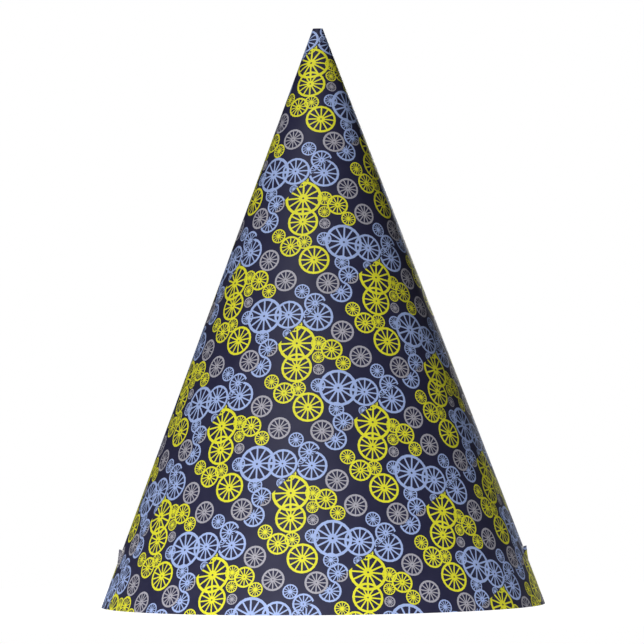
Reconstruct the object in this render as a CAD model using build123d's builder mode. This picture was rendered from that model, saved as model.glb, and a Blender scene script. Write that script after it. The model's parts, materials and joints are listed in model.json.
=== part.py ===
from build123d import *

import os
from math import atan, cos, degrees, radians, sin

# A cone party hat: one die-cut sheet of card rolled into an open cone and lapped at the back.
#
# The lap is held by a strip of double-sided tape between its two layers. Near the mouth, at the left
# and right, a small tab is die cut on three sides and stands out from the card on its fold, so that an
# elastic chin cord can be hooked under it. The cone is open at the mouth and, by a small hole, at the tip.
#
# The origin is the centre of the mouth, on the plane that the hat stands on. +Z runs up the cone's axis,
# -Y is the front and +Y the back, where the lap is. An azimuth is 0 at the front and 90 at the right, +X.

# Driving dimensions, in millimetres and degrees.
mouth_diameter = 127.0  # outside of the card at the mouth
hat_height = 165.0  # from the mouth to the cut tip
tip_diameter = 2.8  # outside of the card at the open tip
card_thickness = 0.3

lap_azimuth = 180.0  # the middle of the lap, at the back
lap_angle = 12.0  # how far the card laps over itself, about the axis
step_angle = 7.0  # over which the outer layer climbs past the inner layer's edge

tape_thickness = 0.12
tape_width = 5.0
tape_length = 95.0
tape_mouth_margin = 6.0  # along the card, from the mouth's edge to the tape
tape_clearance = 0.02  # on each face of the tape

tab_azimuths = {"left_cord_tab": -84.0, "right_cord_tab": 84.0}
tab_width = 6.0
tab_length = 4.0
tab_corner_radius = 2.0
tab_fold_height = 12.7  # of the fold above the mouth
tab_lift = 12.0  # how far a tab stands out from the card at rest
tab_side_clearance = 0.15  # the width of the die's cut
tab_fold_clearance = 0.05  # between the rounded fold and the card below it

# What follows from them.
cone_angle = atan((mouth_diameter - tip_diameter) / 2 / hat_height)
wall = card_thickness / cos(cone_angle)  # the card's thickness, measured level
lap_gap = (tape_thickness + 2 * tape_clearance) / cos(cone_angle)  # between the layers, measured level
inner_edge = lap_azimuth - lap_angle / 2  # azimuth of the inner layer's edge
outer_edge = lap_azimuth + lap_angle / 2  # azimuth of the outer layer's edge
step_start = inner_edge + 360 - step_angle
front_middle = (inner_edge + step_start) / 2


def card_radius(height):
    """Outside radius of the card at a height, away from the lap."""
    return mouth_diameter / 2 - height * (mouth_diameter - tip_diameter) / 2 / hat_height


def around(radius, azimuth):
    """The point in a level plane at this radius and azimuth."""
    return Vector(radius * sin(radians(azimuth)), -radius * cos(radians(azimuth)))


def along(azimuth):
    """The level direction of growing azimuth."""
    return Vector(cos(radians(azimuth)), sin(radians(azimuth)))


def level_arc(radius, start, end):
    """An arc about the axis from one azimuth to another."""
    return ThreePointArc(around(radius, start), around(radius, (start + end) / 2), around(radius, end))


def climb(low_radius, high_radius):
    """The step, from the main wall's radius to the outer layer's, level with both at its ends."""
    start, end = around(low_radius, step_start), around(high_radius, inner_edge + 360)
    return Spline(start, end, tangents=(along(step_start), along(inner_edge + 360)))


def card_surface_plane(azimuth, height, depth=0.0):
    """A plane touching the card's outside, or this deep in it: X level, Y up the slope, Z outwards."""
    on_card = around(card_radius(height), azimuth)
    level_out = around(cos(cone_angle), azimuth)
    outwards = Vector(level_out.X, level_out.Y, sin(cone_angle))
    origin = Vector(on_card.X, on_card.Y, height) - outwards * depth
    return Plane(origin=origin, x_dir=along(azimuth), z_dir=outwards)


def tab_fold_plane(azimuth):
    """The plane of the card's mid-thickness at a tab's fold, where its X axis is the fold."""
    return card_surface_plane(azimuth, tab_fold_height, card_thickness / 2)


# The card: its outline at the mouth and at the tip, joined by straight lines up the slope.
with BuildPart() as hat_cone:
    for height in (0, hat_height):
        outside = card_radius(height)
        inside = outside - wall
        lap_inside = outside + lap_gap
        lap_outside = lap_inside + wall
        with BuildSketch(Plane.XY.offset(height)) as card_section:
            with BuildLine() as card_outline:
                level_arc(outside, inner_edge, front_middle)
                level_arc(outside, front_middle, step_start)
                climb(outside, lap_outside)
                level_arc(lap_outside, inner_edge, outer_edge)
                Line(around(lap_outside, outer_edge), around(lap_inside, outer_edge))
                level_arc(lap_inside, outer_edge, inner_edge)
                climb(inside, lap_inside)
                level_arc(inside, step_start, front_middle)
                level_arc(inside, front_middle, inner_edge)
                Line(around(inside, inner_edge), around(outside, inner_edge))
            make_face()
    loft(ruled=True)

    # The three cut sides of each tab, and the running gap under its fold.
    slot_width = tab_width + 2 * tab_side_clearance
    slot_bottom = -(card_thickness / 2 + tab_fold_clearance)
    slot_top = tab_length + tab_side_clearance
    for azimuth in tab_azimuths.values():
        with BuildSketch(tab_fold_plane(azimuth)) as tab_slot:
            with Locations((0, (slot_bottom + slot_top) / 2)):
                Rectangle(slot_width, slot_top - slot_bottom)
            top_corners = tab_slot.vertices().group_by(Axis.Y)[-1]
            fillet(top_corners, radius=tab_corner_radius + tab_side_clearance)
        extrude(amount=2 * card_thickness, both=True, mode=Mode.SUBTRACT)

hat_cone.part.label = "hat_cone"

# The tape: a band of the gap between the two layers, cut to a straight strip.
with BuildPart() as seam_tape:
    tape_inside = tape_clearance / cos(cone_angle)
    tape_outside = tape_inside + tape_thickness / cos(cone_angle)
    with BuildSketch(Plane.YZ) as tape_profile:
        with BuildLine() as tape_line:
            Polyline(
                (card_radius(0) + tape_inside, 0),
                (card_radius(0) + tape_outside, 0),
                (card_radius(hat_height) + tape_outside, hat_height),
                (card_radius(hat_height) + tape_inside, hat_height),
                close=True,
            )
        make_face()
    revolve(axis=Axis.Z)
    with BuildSketch(card_surface_plane(lap_azimuth, 0)) as tape_strip:
        with Locations((0, tape_mouth_margin + tape_length / 2)):
            Rectangle(tape_width, tape_length)
    extrude(amount=5 * card_thickness, both=True, mode=Mode.INTERSECT)

seam_tape.part.label = "seam_tape"


def cord_tab(label, azimuth):
    """One tab at rest: a flat plate of card that turns about its fold, rounded there."""
    fold = tab_fold_plane(azimuth)
    fold_direction = Axis((0, 0, 0), fold.x_dir)
    lifted = Plane(origin=fold.origin, x_dir=fold.x_dir, z_dir=fold.z_dir.rotate(fold_direction, tab_lift))
    with BuildPart() as tab:
        with BuildSketch(lifted) as tab_outline:
            with Locations((0, tab_length / 2)):
                Rectangle(tab_width, tab_length)
            fillet(tab_outline.vertices().group_by(Axis.Y)[-1], radius=tab_corner_radius)
        extrude(amount=card_thickness / 2, both=True)
        with BuildSketch(Plane(origin=lifted.origin, x_dir=lifted.y_dir, z_dir=lifted.x_dir)) as fold_round:
            Circle(card_thickness / 2)
        extrude(amount=tab_width / 2, both=True)
    tab.part.label = label
    return tab.part


parts = [hat_cone.part, seam_tape.part]
parts += [cord_tab(label, azimuth) for label, azimuth in tab_azimuths.items()]

os.makedirs("parts", exist_ok=True)
for part in parts:
    export_step(part, f"parts/{part.label}.step")

print("cone angle", round(degrees(cone_angle), 3), "card level thickness", round(wall, 3))
for label, azimuth in tab_azimuths.items():
    fold = tab_fold_plane(azimuth)
    print(label, "fold at", tuple(fold.origin), "along", tuple(fold.x_dir))
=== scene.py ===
import json
from math import atan, atan2, ceil, cos, hypot, pi, radians, sin, sqrt, tan

import bpy
import numpy as np
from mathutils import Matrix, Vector
from mathutils.geometry import delaunay_2d_cdt


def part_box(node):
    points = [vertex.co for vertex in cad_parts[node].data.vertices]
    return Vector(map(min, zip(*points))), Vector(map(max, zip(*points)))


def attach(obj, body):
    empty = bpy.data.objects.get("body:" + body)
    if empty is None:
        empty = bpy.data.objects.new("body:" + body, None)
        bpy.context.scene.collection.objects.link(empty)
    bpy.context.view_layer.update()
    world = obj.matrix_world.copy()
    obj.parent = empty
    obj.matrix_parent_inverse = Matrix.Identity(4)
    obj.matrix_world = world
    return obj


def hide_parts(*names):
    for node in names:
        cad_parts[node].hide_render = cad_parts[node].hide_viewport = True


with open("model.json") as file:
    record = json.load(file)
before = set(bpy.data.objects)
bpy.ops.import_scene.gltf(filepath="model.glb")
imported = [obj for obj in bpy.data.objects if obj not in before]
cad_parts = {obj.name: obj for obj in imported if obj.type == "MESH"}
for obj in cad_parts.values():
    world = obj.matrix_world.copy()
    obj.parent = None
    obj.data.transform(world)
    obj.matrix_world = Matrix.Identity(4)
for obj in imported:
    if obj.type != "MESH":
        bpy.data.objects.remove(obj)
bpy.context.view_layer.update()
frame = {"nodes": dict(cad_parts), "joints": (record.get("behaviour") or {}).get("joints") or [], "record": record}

# The looks of a cone party hat: one sheet of printed card, rolled up and lapped at the back, with a
# punched cord tab at each side. The sheet is drawn flat, as it is printed and die cut, and then rolled.
#
# Lengths are in millimetres up to where a mesh is written, which is in metres. The flat sheet's u runs
# across and v down from the cone's apex. An azimuth is in radians about the axis, 0 at the front, -Y.
MM = 0.001

# --- The sheet, its size taken from the frame -------------------------------------------------------
hat_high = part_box("hat_cone")[1]
mouth_radius = hat_high[0] / MM
hat_height = hat_high[2] / MM
TIP_RADIUS = 1.4
CARD = 0.3  # the card's thickness
LAP_GAP = 0.171  # between the lap's two layers, measured level
LAP_HALF_ANGLE = radians(6)
STEP_ANGLE = radians(7)  # over which the outer layer climbs past the inner layer's edge

cone_angle = atan((mouth_radius - TIP_RADIUS) / hat_height)
apex_height = hat_height + TIP_RADIUS / tan(cone_angle)
wall = CARD / cos(cone_angle)  # the card's thickness, measured level
lap_rise = wall + LAP_GAP
half_turn = pi + LAP_HALF_ANGLE  # azimuth of the outer layer's edge; the inner layer's is the same, negative
step_start = pi - LAP_HALF_ANGLE - STEP_ANGLE
slant_tip = TIP_RADIUS / sin(cone_angle)
slant_mouth = mouth_radius / sin(cone_angle)

# --- The cord tabs ----------------------------------------------------------------------------------
TAB_WIDTH = 6.0
TAB_LENGTH = 4.0
TAB_CORNER = 2.0
TAB_LIFT = radians(12)  # at rest
TAB_CUT = 0.15  # the width of the die's cut beside a tab
FOLD_CUT = 0.2  # from the fold's axis down to the card below it
TAB_CURL = 0.12  # how far a tab's free edge curls outwards
TAB_BOW = 0.6  # how far a tab's free corners fall behind its middle
TAB_TWIST = 0.5  # how far its back corner stands out beyond that, and its front corner falls back
tab_folds = {joint["child"]: Vector(joint["pos_m"]) / MM for joint in frame["joints"]}

# --- The print --------------------------------------------------------------------------------------
# Spoked wheels in three inks on a dark ground, repeated by half-drop. A wheel is (across, down, radius)
# in the repeat, and some are trimmed by a straight line at 45 degrees: which side goes, and how far
# from the centre the line lies.
REPEAT = 44.75
PRINT_TURN = radians(2.5)  # of the repeat on the sheet
# The print is drawn down the sheet by each of these at the apex, which dies away over its reach.
DRAWS = [(6.1, 38), (3.0, 8)]
DRAWN_EVENLY = -0.15  # down the whole sheet
DRAWN_ASIDE = 0.2  # to the right, as a share of the way down
UPPER_LEFT, LOWER_RIGHT = -1, 1
YELLOW_WHEELS = [
    (19.9, 32.6, 5.4, UPPER_LEFT, 3.85),
    (20.1, 40.0, 4.4),
    (19.05, 26.95, 2.2, UPPER_LEFT, -0.95),
    (26.1, 32.6, 2.2),
    (29.8, 34.3, 3.1),
    (33.2, 38.2, 2.2),
    (26.1, 36.8, 1.75),
    (13.0, 43.8, 2.2),
    (16.8, 2.7, 3.2),
    (20.8, 1.5, 2.2),
    (23.8, 7.1, 4.4),
]
BLUE_WHEELS = [
    (9.7, 23.4, 5.5),
    (17.2, 23.8, 4.3),
    (25.5, 24.5, 4.4, UPPER_LEFT, 2.05),
    (24.6, 20.4, 3.1, LOWER_RIGHT, 1.35),
    (23.4, 23.9, 2.0, LOWER_RIGHT, -0.35),
    (20.8, 16.8, 2.2),
    (4.0, 22.9, 2.1),
    (17.0, 29.5, 1.35, LOWER_RIGHT, 0.25),
    (9.4, 29.8, 2.2),
    (11.5, 33.6, 3.05, LOWER_RIGHT, 1.3),
    (9.4, 38.8, 3.3, UPPER_LEFT, 1.25),
]
GREY_WHEELS = [
    (10.3, 6.2, 3.3),
    (5.6, 36.5, 3.3),
    (15.8, 13.2, 3.3),
    (4.0, 18.1, 1.6),
    (12.0, 33.7, 2.35, UPPER_LEFT, -0.9),
]
SPOKES = 12
GROUND, YELLOW, BLUE, GREY, CORE, INSIDE = range(6)
# Each ink with its wheels and the share of a wheel's radius that its hub takes, the lowest ink first.
INKS = [(BLUE, BLUE_WHEELS, 0.26), (YELLOW, YELLOW_WHEELS, 0.26), (GREY, GREY_WHEELS, 0.19)]


class Wheel:
    """One printed wheel. Its round outlines are drawn as polygons, with a corner of the inner ones on each
    spoke. Small wheels have fewer corners, and no dot at the centre."""

    def __init__(self, across, down, radius, side=0, trim=0.0, hub_share=0.26):
        small, large = radius < 2.5, radius > 3.5
        self.centre = np.array((across, down))
        self.side, self.trim = side, trim
        self.outer = radius, 16 if small else 20
        self.inner = radius * 0.855 - 0.04, 2 * SPOKES if large else SPOKES
        self.hub = radius * hub_share, SPOKES
        self.dot = 0 if small else radius * 0.062, 6
        self.half_spoke = (radius * 0.082 + 0.05) / 2

    def covers(self, offset):
        """Which of these points, given from the wheel's centre, are inked."""
        distance = np.hypot(offset[:, 0], offset[:, 1])
        angle = np.arctan2(offset[:, 1], offset[:, 0])

        def within(outline):
            radius, sides = outline
            from_corner = angle % (2 * pi / sides) - pi / sides
            return distance * np.cos(from_corner) < radius * cos(pi / sides)

        outer, inner, hub, dot = map(within, (self.outer, self.inner, self.hub, self.dot))
        from_spoke = (angle + pi / SPOKES) % (2 * pi / SPOKES) - pi / SPOKES
        spoke = np.abs(distance * np.sin(from_spoke)) < self.half_spoke
        inked = (outer & ~inner) | (inner & (spoke | hub) & ~dot)
        if self.side:
            inked &= (offset.sum(1) / sqrt(2)) * self.side < self.trim
        return inked

    def strokes(self):
        """The lines that bound the wheel's ink, as pairs of points from its centre."""
        for radius, sides in (self.outer, self.inner, self.hub, self.dot):
            if radius:
                turn = np.arange(sides) * 2 * pi / sides
                corners = radius * np.stack((np.cos(turn), np.sin(turn)), 1)
                yield from zip(corners, np.roll(corners, -1, 0))
        start, end = self.hub[0] * 0.8, (self.inner[0] + self.outer[0]) / 2
        for turn in np.arange(SPOKES) * 2 * pi / SPOKES:
            along = np.array((cos(turn), sin(turn)))
            aside = np.array((-sin(turn), cos(turn))) * self.half_spoke
            for edge in (aside, -aside):
                yield along * start + edge, along * end + edge
        if self.side:
            middle = np.array((1, 1)) / sqrt(2) * self.side * self.trim
            reach = np.array((1, -1)) / sqrt(2) * sqrt(self.outer[0] ** 2 - self.trim**2)
            yield middle - reach, middle + reach


wheels = [
    (ink, Wheel(*numbers, hub_share=hub_share)) for ink, places, hub_share in INKS for numbers in places
]
turn_sheet = np.array(((cos(PRINT_TURN), sin(PRINT_TURN)), (-sin(PRINT_TURN), cos(PRINT_TURN))))


def squeeze(flat):
    """How far the print is drawn down, and a little to the right, mostly near the tip."""
    slant = np.hypot(flat[:, 0], flat[:, 1])
    down = sum(amount * np.exp(-slant / reach) for amount, reach in DRAWS) + DRAWN_EVENLY
    return np.stack((DRAWN_ASIDE * down, down), 1)


def printed_at(points):
    """Where points of the straight print lie on the flat sheet."""
    flat = points
    for _ in range(12):
        flat = points + squeeze(flat)
    return flat


def ink_in_print(points):
    """The ink at each of these points of the straight print."""
    in_repeat = points @ turn_sheet.T
    ink = np.full(len(points), GROUND)
    for wheel_ink, wheel in wheels:
        offset = in_repeat - wheel.centre
        steps = np.stack((offset.sum(1), offset[:, 1] - offset[:, 0]), 1) / REPEAT
        steps -= np.round(steps)
        nearest = np.stack((steps[:, 0] - steps[:, 1], steps.sum(1)), 1) * REPEAT / 2
        ink[wheel.covers(nearest)] = wheel_ink
    return ink


def ink_at(flat):
    """The ink at each of these points of the flat sheet."""
    return ink_in_print(flat - squeeze(flat))


def triangulate(points, lines, epsilon=1e-4):
    """The flat points joined in triangles, with every line an edge: the points, triangles and origins.

    The triangles run anticlockwise as the sheet is seen, with v down."""
    vectors = [Vector(point) for point in points.tolist()]
    found = delaunay_2d_cdt(vectors, lines.tolist(), [], 0, epsilon)
    return np.array([tuple(p) for p in found[0]]), np.array(found[2])[:, ::-1], found[3]


def drawn_lines(segments):
    """Points and lines from segments given by their ends."""
    points = segments.reshape(-1, 2)
    return points, np.arange(len(points)).reshape(-1, 2)


def inked_outlines():
    """The lines on the flat sheet along which the ink changes, as pairs of points."""
    reach = slant_mouth + 6
    segments = []
    for _, wheel in wheels:
        strokes = np.array(list(wheel.strokes()))
        count = ceil(2 * reach / REPEAT) + 1
        for i in range(-count, count + 1):
            for j in range(-count, count + 1):
                centre = wheel.centre + np.array((i - j, i + j)) * REPEAT / 2
                place = centre @ turn_sheet
                if np.hypot(*place) < reach and place[1] > abs(place[0]) * 0.4 - 12:
                    segments.append((strokes + centre) @ turn_sheet)
    points, triangles, _ = triangulate(*drawn_lines(np.concatenate(segments)), epsilon=1e-3)
    ink = ink_in_print(points[triangles].mean(1))
    edges = np.sort(edges_of(triangles), 1)
    owner = np.tile(np.arange(len(triangles)), 3)
    order = np.lexsort((edges[:, 1], edges[:, 0]))
    edges, owner = edges[order], owner[order]
    pairs = np.flatnonzero((edges[1:] == edges[:-1]).all(1))
    changed = pairs[ink[owner[pairs]] != ink[owner[pairs + 1]]]
    return printed_at(points)[edges[changed]]


# --- The sheet, flat and rolled ---------------------------------------------------------------------
def on_sheet(azimuth, slant):
    """The point of the flat sheet that the roll brings to this azimuth and distance from the apex."""
    angle = np.asarray(azimuth) * sin(cone_angle)
    return np.stack(np.broadcast_arrays(slant * np.sin(angle), slant * np.cos(angle)), -1)


def climbed(azimuth):
    """How much of the lap's rise the sheet has made at an azimuth, and its rate there."""
    t = np.clip((azimuth - step_start) / STEP_ANGLE, 0, 1)
    return t * t * (3 - 2 * t), 6 * t * (1 - t) / STEP_ANGLE


def roll_up(flat, depth):
    """Where the roll brings points of the sheet, this share of the thickness in, and the way out there."""
    slant = np.hypot(flat[:, 0], flat[:, 1])
    azimuth = np.arctan2(flat[:, 0], flat[:, 1]) / sin(cone_angle)
    share, rate = climbed(azimuth)
    radius = slant * sin(cone_angle) + lap_rise * share
    lean = lap_rise * rate / np.maximum(radius, TIP_RADIUS)
    level = radius - wall * depth
    places = np.stack(
        (level * np.sin(azimuth), -level * np.cos(azimuth), apex_height - slant * cos(cone_angle)), 1
    )
    across, along = np.sin(azimuth) - lean * np.cos(azimuth), -np.cos(azimuth) - lean * np.sin(azimuth)
    outwards = np.stack(
        (across * cos(cone_angle), along * cos(cone_angle), np.full(len(flat), sin(cone_angle))), 1
    )
    return places, outwards / np.linalg.norm(outwards, axis=1)[:, None]


class Roll:
    """How the hat's sheet is rolled up."""

    def place(self, flat, depth):
        return roll_up(flat, depth)

    def round_edge(self, flat):
        return np.zeros((len(flat), 3))


class Tab:
    """One cord tab: its place on the flat sheet, and how it stands on its fold."""

    def __init__(self, fold):
        self.fold = np.array(fold)
        self.azimuth = atan2(fold[0], -fold[1])
        self.twist = TAB_TWIST if fold[0] > 0 else -TAB_TWIST
        self.slant = (hypot(fold[0], fold[1]) + CARD / 2 * cos(cone_angle)) / sin(cone_angle)
        self.origin = on_sheet(self.azimuth, self.slant)
        self.up = -self.origin / self.slant
        self.across = np.array((-self.up[1], self.up[0]))
        lean = cone_angle - TAB_LIFT
        away = np.array((sin(self.azimuth), -cos(self.azimuth), 0))
        self.level = np.array((cos(self.azimuth), sin(self.azimuth), 0))
        self.slope = np.array((0, 0, cos(lean))) - sin(lean) * away
        self.out = np.array((0, 0, sin(lean))) + cos(lean) * away

    def to_sheet(self, local):
        return self.origin + local[:, :1] * self.across + local[:, 1:] * self.up

    def to_local(self, flat):
        return np.stack(((flat - self.origin) @ self.across, (flat - self.origin) @ self.up), 1)

    def place(self, flat, depth):
        """As roll_up, for the tab at rest, bowed across, twisted and curled a little at its free edge."""
        x, y = self.to_local(flat).T
        up, aside = y / TAB_LENGTH, x / (TAB_WIDTH / 2)
        rise = TAB_CURL * up**2 + (self.twist * aside - TAB_BOW * aside**2) * up
        rate_up = (2 * TAB_CURL * up + self.twist * aside - TAB_BOW * aside**2) / TAB_LENGTH
        rate_aside = (self.twist - 2 * TAB_BOW * aside) * up / (TAB_WIDTH / 2)
        outwards = self.out - rate_up[:, None] * self.slope - rate_aside[:, None] * self.level
        outwards /= np.linalg.norm(outwards, axis=1)[:, None]
        places = self.fold + x[:, None] * self.level + y[:, None] * self.slope
        return places + (rise + CARD * (0.5 - depth))[:, None] * self.out, outwards

    def inside(self, flat):
        return inside_outline(self.to_local(flat), tab_outline)

    def round_edge(self, flat):
        """How far the edge stands out halfway through the card: only at the fold, where it is round."""
        at_fold = self.to_local(flat)[:, 1] < 0.01
        return -CARD / 2 * at_fold[:, None] * self.slope


tabs = {body: Tab(fold) for body, fold in tab_folds.items()}


def arch(half_width, bottom, top, corner, steps=8):
    """A closed outline with its two top corners rounded."""
    turn = np.linspace(0, pi / 2, steps + 1)
    quarter = corner * np.stack((np.cos(turn), np.sin(turn)), 1)
    right = quarter + (half_width - corner, top - corner)
    left = right[::-1] * (-1, 1)
    return np.concatenate((((-half_width, bottom), (half_width, bottom)), right, left))


def inside_outline(points, outline):
    """Which points lie inside a closed convex outline that runs anticlockwise."""
    inside = np.ones(len(points), bool)
    for start, end in zip(outline, np.roll(outline, -1, 0)):
        along, to_point = end - start, points - start
        inside &= along[0] * to_point[:, 1] - along[1] * to_point[:, 0] > -1e-9
    return inside


def closed(outline):
    """A closed outline's sides, as pairs of points."""
    return np.stack((outline, np.roll(outline, -1, 0)), 1)


def tab_lines(margin):
    """Lines up a tab, which keep it smooth where it is bowed. They keep that far from its edges."""
    across = np.linspace(-2.5, 2.5, 11)
    past_flat_top = np.maximum(np.abs(across) - (TAB_WIDTH / 2 - TAB_CORNER), 0)
    top = TAB_LENGTH - TAB_CORNER + np.sqrt(TAB_CORNER**2 - past_flat_top**2)
    bottom = np.full(len(across), margin)
    return np.stack((np.stack((across, bottom), 1), np.stack((across, top - margin), 1)), 1)


slot_outline = arch(TAB_WIDTH / 2 + TAB_CUT, -FOLD_CUT, TAB_LENGTH + TAB_CUT, TAB_CORNER + TAB_CUT)
tab_outline = arch(TAB_WIDTH / 2, 0.0, TAB_LENGTH, TAB_CORNER)

# Straight lines up the slope, which keep the rolled sheet round, closer together over the step.
ROUNDING = radians(5)
spread = np.linspace(-half_turn, half_turn, round(2 * half_turn / ROUNDING) + 1)
guides = np.union1d(spread, np.linspace(step_start, step_start + STEP_ANGLE, 5))


def hat_outline():
    """The sheet's outer outline, as pairs of points."""
    arc = np.unique(np.concatenate([np.linspace(a, b, 4) for a, b in zip(guides, guides[1:])]))
    outline = np.concatenate((on_sheet(arc, slant_mouth), on_sheet(arc[::-1], slant_tip)))
    return closed(outline)


def guide_lines(margin=0.0):
    """The guides, as pairs of points. With a margin, they keep that far from the card's edges and slots."""
    lines = []
    for azimuth in guides[1:-1]:
        stops = [slant_tip + margin, slant_mouth - margin]
        for tab in tabs.values():
            if margin and abs(azimuth - tab.azimuth) < radians(5):
                stops[1:1] = [tab.slant - TAB_LENGTH - TAB_CUT - margin, tab.slant + FOLD_CUT + margin]
        for start, end in zip(stops[::2], stops[1::2]):
            lines.append((on_sheet(azimuth, start), on_sheet(azimuth, end)))
    return np.array(lines)


def in_hat(flat):
    """Which points of the sheet belong to the cone, not a slot or the waste around the sheet."""
    slant = np.hypot(flat[:, 0], flat[:, 1])
    azimuth = np.arctan2(flat[:, 0], flat[:, 1]) / sin(cone_angle)
    chord = cos(ROUNDING * sin(cone_angle) / 2)
    inside = (slant > slant_tip * chord) & (slant < slant_mouth) & (np.abs(azimuth) < half_turn)
    for tab in tabs.values():
        inside &= ~inside_outline(tab.to_local(flat), slot_outline)
    return inside


# --- Meshes -----------------------------------------------------------------------------------------
def edges_of(triangles):
    """Each triangle's three edges, in its own direction."""
    return np.concatenate([triangles[:, [0, 1]], triangles[:, [1, 2]], triangles[:, [2, 0]]])


def open_edges(triangles):
    """The edges with a triangle on one side only."""
    edges = edges_of(triangles)
    _, first, count = np.unique(np.sort(edges, 1), axis=0, return_index=True, return_counts=True)
    return edges[first[count == 1]]


def used_only(points, triangles):
    """The points that the triangles use, and the triangles renumbered."""
    used, numbers = np.unique(triangles, return_inverse=True)
    return points[used], numbers.reshape(-1, 3)


def map_cell(flat, kind, low, high):
    """Where the bake's map has these points of a sheet that lies between low and high.

    The map has six parts, two across and three up: one for each ink, then the core's and the inside's."""
    across, down = ((flat - low) / (high - low)).T
    column, row = kind % 2, kind // 2
    return np.stack((column * 0.5 + 0.01 + 0.48 * across, row * 0.3333 + 0.32 - 0.31 * down), 1)


def filled(triangles, walls):
    """Which triangles are on the side of the directed walls that a triangle with the same edge is on."""
    walls = set(map(tuple, walls.tolist()))
    corners = triangles.tolist()
    owner = {}
    for number, (a, b, c) in enumerate(corners):
        owner[a, b] = owner[b, c] = owner[c, a] = number
    inside = np.zeros(len(corners), bool)
    waiting = [owner[wall] for wall in walls if wall in owner]
    while waiting:
        number = waiting.pop()
        if inside[number]:
            continue
        inside[number] = True
        a, b, c = corners[number]
        for start, end in ((a, b), (b, c), (c, a)):
            if (start, end) not in walls and (end, start) in owner:
                waiting.append(owner[end, start])
    return inside


def plain_face(rim_flat, rim, guide):
    """The card's plain face, within the printed face's rim: its points and triangles, and which of its
    points each of the rim's became."""
    points, lines = rim_flat, rim
    if guide is not None:
        points = np.concatenate((rim_flat, guide[0]))
        lines = np.concatenate((rim, len(rim_flat) + guide[1]))
    found, triangles, origins = triangulate(points, lines, epsilon=1e-7)
    went = np.full(len(points), -1)
    for new, old in enumerate(origins):
        went[old] = new
    return found, triangles[filled(triangles, went[rim])], went[: len(rim_flat)]


def card_piece(name, flat, triangles, ink, shape, guide=None, layers=1):
    """A closed mesh of card: printed outside, plain inside, with its cut edges between, in this many layers.

    shape says how the sheet is put in space."""
    outer, outwards = shape.place(flat, 0.0)
    rim_points, rim = np.unique(open_edges(triangles), return_inverse=True)
    rim = rim.reshape(-1, 2)
    rim_flat = flat[rim_points]
    rings = []
    for layer in range(1, layers + 1):
        depth = layer / layers
        bulge = sqrt(max(0.0, 1 - (2 * depth - 1) ** 2))
        rings.append(shape.place(rim_flat, depth)[0] + bulge * shape.round_edge(rim_flat))
    found, inner_triangles, went = plain_face(rim_flat, rim, guide)
    last_ring = len(flat) + (layers - 1) * len(rim_flat)
    number = np.full(len(found), -1)
    number[went] = last_ring + np.arange(len(rim_flat))
    fresh = np.setdiff1d(inner_triangles, went)
    number[fresh] = last_ring + len(rim_flat) + np.arange(len(fresh))
    inner_triangles = inner_triangles[:, ::-1]
    inner, inner_outwards = shape.place(found, 1.0)
    vertices = np.concatenate([outer, *rings, inner[fresh]]) * MM

    corners, sizes, kinds, normals, maps = [], [], [], [], []

    def add(faces, kind, face_normals, face_map):
        corners.append(faces.ravel())
        sizes.append(np.full(len(faces), faces.shape[1]))
        kinds.append(np.broadcast_to(kind, len(faces)))
        normals.append(face_normals.reshape(-1, 3))
        maps.append(face_map.reshape(-1, 2))

    extent = flat.min(0), flat.max(0)
    printed_map = map_cell(flat[triangles].reshape(-1, 2), np.repeat(ink, 3), *extent)
    add(triangles, ink, outwards[triangles], printed_map)
    inner_map = map_cell(found[inner_triangles].reshape(-1, 2), INSIDE, *extent)
    add(number[inner_triangles], INSIDE, -inner_outwards[inner_triangles], inner_map)
    ring_of = [rim_points] + [len(flat) + i * len(rim_flat) + np.arange(len(rim_flat)) for i in range(layers)]
    strip = np.linspace(0, 1, len(rim) + 1)
    for layer in range(layers):
        high, low = ring_of[layer], ring_of[layer + 1]
        quads = np.stack((high[rim[:, 1]], high[rim[:, 0]], low[rim[:, 0]], low[rim[:, 1]]), 1)
        a, b, c = (vertices[quads[:, i]] for i in range(3))
        facing = np.cross(b - a, c - b)
        facing /= np.maximum(np.linalg.norm(facing, axis=1), 1e-12)[:, None]
        up, down = (0.68 + 0.3 * (layer + i) / layers for i in range(2))
        across = [0.01 + 0.48 * s for s in (strip[1:], strip[:-1], strip[:-1], strip[1:])]
        edge_map = np.stack((np.stack(across, 1), np.broadcast_to((up, up, down, down), (len(rim), 4))), 2)
        add(quads, CORE, np.repeat(facing, 4, 0), edge_map)

    mesh = bpy.data.meshes.new(name)
    corners, sizes = np.concatenate(corners), np.concatenate(sizes)
    mesh.vertices.add(len(vertices))
    mesh.vertices.foreach_set("co", vertices.ravel())
    mesh.loops.add(len(corners))
    mesh.loops.foreach_set("vertex_index", corners)
    mesh.polygons.add(len(sizes))
    mesh.polygons.foreach_set("loop_start", np.concatenate(((0,), np.cumsum(sizes)[:-1])))
    mesh.update(calc_edges=True)
    mesh.polygons.foreach_set("material_index", np.concatenate(kinds))
    mesh.uv_layers.new(name="OFBake").data.foreach_set("uv", np.concatenate(maps).ravel())
    mesh.polygons.foreach_set("use_smooth", np.ones(len(sizes), bool))
    mesh.normals_split_custom_set(np.concatenate(normals).tolist())
    for material in card_materials:
        mesh.materials.append(material)
    piece = bpy.data.objects.new(name, mesh)
    bpy.context.scene.collection.objects.link(piece)
    return piece


# --- Materials --------------------------------------------------------------------------------------
def new_material(name):
    material = bpy.data.materials.new(name)
    material.use_nodes = True
    nodes = material.node_tree.nodes
    return material, nodes, material.node_tree.links, nodes["Principled BSDF"]


def noise(nodes, links, scale, detail=2.0):
    """Noise over the piece's own space, with scale in cycles per metre."""
    place = nodes.new("ShaderNodeTexCoord")
    texture = nodes.new("ShaderNodeTexNoise")
    texture.inputs["Scale"].default_value = scale
    texture.inputs["Detail"].default_value = detail
    links.new(place.outputs["Object"], texture.inputs["Vector"])
    return texture.outputs["Fac"]


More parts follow.
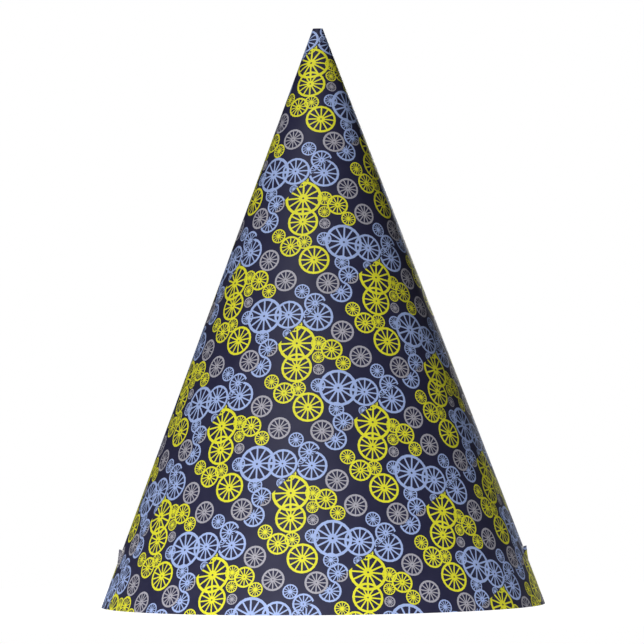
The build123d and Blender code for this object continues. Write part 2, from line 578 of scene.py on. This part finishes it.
def spread_between(nodes, links, value, low, high):
    """The noise value, mostly 0.3 to 0.7, stretched to run from low to high."""
    stretch = nodes.new("ShaderNodeMapRange")
    stretch.inputs["From Min"].default_value = 0.3
    stretch.inputs["From Max"].default_value = 0.7
    stretch.inputs["To Min"].default_value = low
    stretch.inputs["To Max"].default_value = high
    links.new(value, stretch.inputs["Value"])
    return stretch.outputs["Result"]


def mottled(nodes, links, value, first, second):
    mix = nodes.new("ShaderNodeMix")
    mix.data_type = "RGBA"
    mix.inputs["A"].default_value = (*first, 1)
    mix.inputs["B"].default_value = (*second, 1)
    links.new(value, mix.inputs["Factor"])
    return mix.outputs["Result"]


def bumpy(nodes, links, shader, value, strength, distance):
    bump = nodes.new("ShaderNodeBump")
    bump.inputs["Strength"].default_value = strength
    bump.inputs["Distance"].default_value = distance
    links.new(value, bump.inputs["Height"])
    links.new(bump.outputs["Normal"], shader.inputs["Normal"])


def printed(name, colour, roughness):
    """Offset ink on coated card: slightly uneven in density, over a fine grain."""
    material, nodes, links, shader = new_material(name)
    thin = tuple(c * 1.06 + 0.004 for c in colour)
    full = tuple(c * 0.95 for c in colour)
    density = spread_between(nodes, links, noise(nodes, links, 260, 4), 0, 1)
    links.new(mottled(nodes, links, density, full, thin), shader.inputs["Base Color"])
    sheen = spread_between(nodes, links, noise(nodes, links, 90), roughness - 0.04, roughness + 0.05)
    links.new(sheen, shader.inputs["Roughness"])
    shader.inputs["Specular IOR Level"].default_value = 0.3
    bumpy(nodes, links, shader, noise(nodes, links, 2600, 3), 0.12, 0.00002)
    return material


def uncoated(name, light, dark, scale):
    """Bare card, with its fibres."""
    material, nodes, links, shader = new_material(name)
    fibres = spread_between(nodes, links, noise(nodes, links, scale, 6), 0, 1)
    links.new(mottled(nodes, links, fibres, dark, light), shader.inputs["Base Color"])
    rough = spread_between(nodes, links, noise(nodes, links, scale / 4), 0.8, 0.92)
    links.new(rough, shader.inputs["Roughness"])
    shader.inputs["Specular IOR Level"].default_value = 0.25
    bumpy(nodes, links, shader, noise(nodes, links, scale * 2, 4), 0.3, 0.00003)
    return material


card_materials = [
    printed("ground_ink", (0.021, 0.021, 0.056), 0.52),
    printed("yellow_ink", (0.82, 0.80, 0.035), 0.5),
    printed("blue_ink", (0.385, 0.497, 0.83), 0.5),
    printed("grey_ink", (0.42, 0.41, 0.465), 0.5),
    uncoated("card_core", (0.80, 0.79, 0.76), (0.66, 0.65, 0.62), 2200),
    uncoated("card_inside", (0.78, 0.775, 0.76), (0.68, 0.67, 0.65), 900),
]

def adhesive_tape():
    """Double-sided tape, faintly yellow and uneven."""
    material, nodes, links, shader = new_material("tape")
    uneven = spread_between(nodes, links, noise(nodes, links, 700, 3), 0, 1)
    colour = mottled(nodes, links, uneven, (0.72, 0.69, 0.60), (0.82, 0.80, 0.73))
    links.new(colour, shader.inputs["Base Color"])
    links.new(spread_between(nodes, links, noise(nodes, links, 400), 0.35, 0.5), shader.inputs["Roughness"])
    bumpy(nodes, links, shader, noise(nodes, links, 1500), 0.2, 0.00002)
    return material


tape = frame["nodes"]["seam_tape"].data
tape.materials.clear()
tape.materials.append(adhesive_tape())


# --- The pieces -------------------------------------------------------------------------------------
def printed_sheet(lines, inside):
    """The sheet within inside, cut along these lines: its points, its triangles and their inks."""
    points, triangles, _ = triangulate(*drawn_lines(lines), epsilon=5e-4)
    triangles = triangles[inside(points[triangles].mean(1))]
    points, triangles = used_only(points, triangles)
    return points, triangles, ink_at(points[triangles].mean(1))


outlines = inked_outlines()
slots = [closed(tab.to_sheet(slot_outline)) for tab in tabs.values()]
hat_sheet = printed_sheet(np.concatenate((outlines, hat_outline(), guide_lines(), *slots)), in_hat)
hat = card_piece("printed_cone", *hat_sheet, Roll(), guide=drawn_lines(guide_lines(0.4)))
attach(hat, "hat")
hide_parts("hat_cone")

for body, tab in tabs.items():
    near = np.hypot(*(outlines.mean(1) - tab.origin).T) < 2 * TAB_WIDTH
    across, short = (
        tab.to_sheet(ends.reshape(-1, 2)).reshape(-1, 2, 2) for ends in (tab_lines(0.01), tab_lines(0.3))
    )
    edge = closed(tab.to_sheet(tab_outline))
    tab_sheet = printed_sheet(np.concatenate((outlines[near], edge, across)), tab.inside)
    piece = card_piece(f"{body}_card", *tab_sheet, tab, guide=drawn_lines(short), layers=4)
    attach(piece, body)
    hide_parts(frame["record"]["behaviour"]["bodies"][body][0])


# --- Floor, light and camera ------------------------------------------------------------------------
def studio_floor():
    """A small round table of glowing white paper. It is clear from below, so that the hat shows there."""
    radius, sides = 0.16, 96
    turn = np.arange(sides) * 2 * pi / sides
    mesh = bpy.data.meshes.new("studio_floor")
    mesh.from_pydata([(radius * cos(a), radius * sin(a), 0) for a in turn], [], [range(sides)])
    material, nodes, links, shader = new_material("studio_paper")
    shade = spread_between(nodes, links, noise(nodes, links, 3), 0, 1)
    colour = mottled(nodes, links, shade, (0.86, 0.86, 0.86), (0.88, 0.88, 0.88))
    links.new(colour, shader.inputs["Base Color"])
    shader.inputs["Roughness"].default_value = 0.9
    shader.inputs["Specular IOR Level"].default_value = 0.1
    shader.inputs["Emission Color"].default_value = (1, 1, 1, 1)
    shader.inputs["Emission Strength"].default_value = 0.86
    clear = nodes.new("ShaderNodeBsdfTransparent")
    side = nodes.new("ShaderNodeNewGeometry")
    mix = nodes.new("ShaderNodeMixShader")
    links.new(side.outputs["Backfacing"], mix.inputs["Fac"])
    links.new(shader.outputs["BSDF"], mix.inputs[1])
    links.new(clear.outputs["BSDF"], mix.inputs[2])
    links.new(mix.outputs["Shader"], nodes["Material Output"].inputs["Surface"])
    mesh.materials.append(material)
    floor = bpy.data.objects.new("studio_floor", mesh)
    bpy.context.scene.collection.objects.link(floor)


def area_light(name, azimuth, elevation, distance, size, power):
    """A soft light aimed at the hat's middle, from an azimuth and elevation in degrees."""
    aim = Vector((0, 0, hat_high[2] / 2))
    turn, rise = radians(azimuth), radians(elevation)
    towards = Vector((sin(turn) * cos(rise), -cos(turn) * cos(rise), sin(rise)))
    data = bpy.data.lights.new(name, "AREA")
    data.shape = "SQUARE"
    data.size = size
    data.energy = power
    light = bpy.data.objects.new(name, data)
    light.location = aim + distance * towards
    light.rotation_euler = towards.to_track_quat("Z", "Y").to_euler()
    light.visible_camera = False
    bpy.context.scene.collection.objects.link(light)


def studio_world(surround, backdrop):
    """A dim surround, in front of a white backdrop that only the camera sees."""
    world = bpy.data.worlds.new("studio")
    world.use_nodes = True
    nodes, links = world.node_tree.nodes, world.node_tree.links
    path = nodes.new("ShaderNodeLightPath")
    strength = nodes.new("ShaderNodeMapRange")
    strength.inputs["To Min"].default_value = surround
    strength.inputs["To Max"].default_value = backdrop
    links.new(path.outputs["Is Camera Ray"], strength.inputs["Value"])
    links.new(strength.outputs["Result"], nodes["Background"].inputs["Strength"])
    nodes["Background"].inputs["Color"].default_value = (1, 1, 1, 1)
    bpy.context.scene.world = world


studio_floor()
studio_world(surround=0.03, backdrop=1.0)
area_light("key", azimuth=-22, elevation=14, distance=3.0, size=1.3, power=72)
area_light("back", azimuth=172, elevation=15, distance=3.0, size=1.0, power=40)
bpy.context.scene.view_settings.view_transform = "Standard"

CAMERA_DISTANCE = 1.8
CAMERA_HEIGHT = 0.081
CAMERA_ASIDE = 0.0004
CAMERA_ROLL = radians(-0.55)
lens = bpy.data.cameras.new("camera")
lens.lens = 351.5
lens.clip_end = 50
camera = bpy.data.objects.new("camera", lens)
camera.location = (CAMERA_ASIDE, -CAMERA_DISTANCE, CAMERA_HEIGHT)
camera.rotation_euler = (pi / 2, -CAMERA_ROLL, 0)
bpy.context.scene.collection.objects.link(camera)
bpy.context.scene.camera = camera
